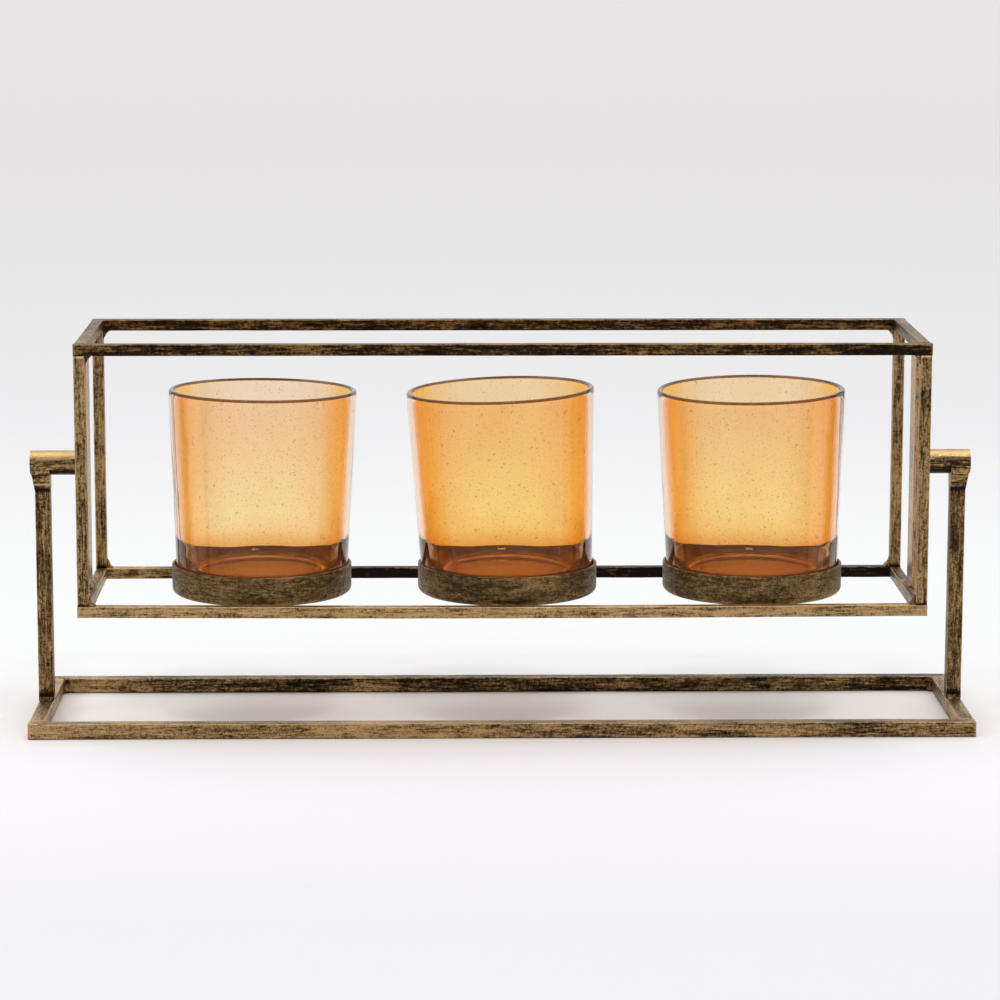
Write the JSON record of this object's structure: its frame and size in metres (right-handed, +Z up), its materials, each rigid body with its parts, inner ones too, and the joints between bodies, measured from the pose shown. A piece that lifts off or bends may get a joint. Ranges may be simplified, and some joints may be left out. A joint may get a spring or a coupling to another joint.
{
  "type": "triple votive candle holder",
  "caption": "Votive candle holder: amber glasses in round metal trays, carried in a box frame of square bar that swings between posts on a flat rectangular base.",
  "frame": {"origin": "on the table, under the middle of the base", "axes": "+X to the right along the row of glasses, -Y towards the front, +Z up"},
  "size_m": [0.3842, 0.092, 0.1593],
  "materials": {
    "base_gold": "antique gold patina over dark iron, streaked and worn",
    "cradle_gold": "antique gold patina over dark iron, streaked and worn",
    "tray_patina": "brown grey antique gold wash on pressed sheet",
    "weld_beads": "dark ground weld under the same patina",
    "pivot_steel": "dark patinated steel rod",
    "amber_glass": "clear amber blown glass with small seeds, fire-polished rim"
  },
  "bodies": {
    "base": {"base_front_bar": "base_gold", "base_back_bar": "base_gold", "base_left_bar": "base_gold", "base_right_bar": "base_gold", "base_corner_welds": "weld_beads", "left_post": "base_gold", "right_post": "base_gold", "left_post_welds": "weld_beads", "right_post_welds": "weld_beads", "left_pivot_head": "base_gold", "right_pivot_head": "base_gold"},
    "cradle": {"cradle_bottom_front_rail": "cradle_gold", "cradle_bottom_back_rail": "cradle_gold", "cradle_bottom_left_rail": "cradle_gold", "cradle_bottom_right_rail": "cradle_gold", "cradle_top_front_rail": "cradle_gold", "cradle_top_back_rail": "cradle_gold", "cradle_top_left_rail": "cradle_gold", "cradle_top_right_rail": "cradle_gold", "cradle_front_left_upright": "cradle_gold", "cradle_front_right_upright": "cradle_gold", "cradle_back_left_upright": "cradle_gold", "cradle_back_right_upright": "cradle_gold", "cradle_front_left_welds": "weld_beads", "cradle_front_right_welds": "weld_beads", "cradle_back_left_welds": "weld_beads", "cradle_back_right_welds": "weld_beads", "left_pivot_strap": "cradle_gold", "left_strap_welds": "weld_beads", "left_pivot_pin": "pivot_steel", "right_pivot_strap": "cradle_gold", "right_strap_welds": "weld_beads", "right_pivot_pin": "pivot_steel", "left_tray": "tray_patina", "left_tray_welds": "weld_beads", "centre_tray": "tray_patina", "centre_tray_welds": "weld_beads", "right_tray": "tray_patina", "right_tray_welds": "weld_beads"},
    "glass_left": {"left_glass": "amber_glass"},
    "glass_centre": {"centre_glass": "amber_glass"},
    "glass_right": {"right_glass": "amber_glass"}
  },
  "joints": [
    {"name": "cradle_swing", "type": "hinge", "parent": "base", "child": "cradle", "pos_m": [0, 0, 0.10528], "axis": [1, 0, 0], "continuous": true},
    {"name": "left_glass_lift", "type": "slide", "parent": "cradle", "child": "glass_left", "axis": [0, 0, 1], "range_m": [0, 0.12]},
    {"name": "centre_glass_lift", "type": "slide", "parent": "cradle", "child": "glass_centre", "axis": [0, 0, 1], "range_m": [0, 0.12]},
    {"name": "right_glass_lift", "type": "slide", "parent": "cradle", "child": "glass_right", "axis": [0, 0, 1], "range_m": [0, 0.12]}
  ]
}
